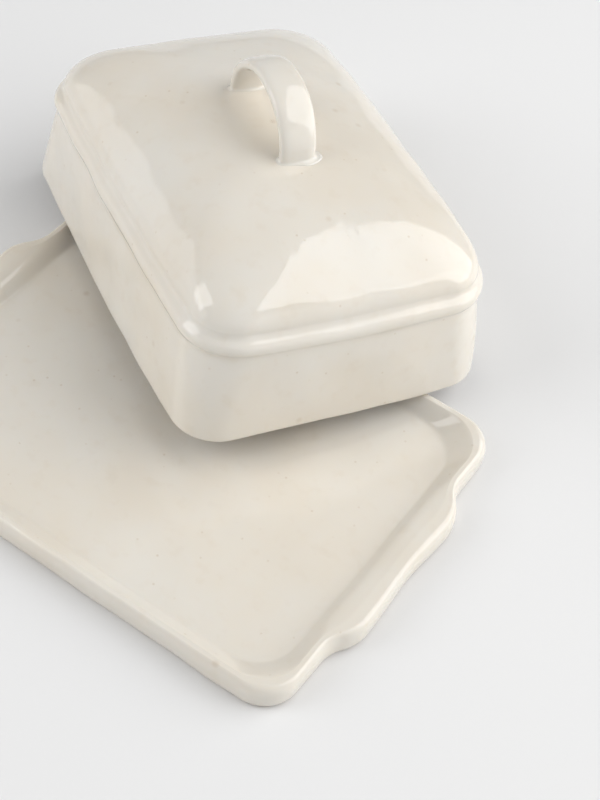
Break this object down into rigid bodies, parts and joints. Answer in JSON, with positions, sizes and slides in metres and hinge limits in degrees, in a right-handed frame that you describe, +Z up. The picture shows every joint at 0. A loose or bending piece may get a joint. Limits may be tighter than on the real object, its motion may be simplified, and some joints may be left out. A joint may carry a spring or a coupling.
{
  "type": "covered butter dish",
  "caption": "Oblong stoneware butter dish: shallow rimmed tray with an ear at each end, and a deep domed lid with a strap handle, set down askew on the tray's rim.",
  "frame": {"origin": "centre of the tray's flat foot, on the surface that it stands on", "axes": "+Z up, +X along the tray from ear to ear, +Y towards the long rim that the lid leans on"},
  "size_m": [0.2258, 0.241, 0.0991],
  "materials": {
    "tray_glaze": "glossy warm white glaze over stoneware, bare clay under the foot",
    "lid_glaze": "glossy warm white glaze over stoneware, bare clay on the bottom rim",
    "handle_glaze": "glossy warm white glaze, thicker where it pools at the feet"
  },
  "bodies": {
    "tray": {"tray": "tray_glaze"},
    "lid": {"lid_shell": "lid_glaze", "lid_handle": "handle_glaze"}
  },
  "joints": [
    {"name": "lid_lift", "type": "slide", "parent": "tray", "child": "lid", "axis": [0, 0, 1], "range_m": [0, 0.1]}
  ]
}
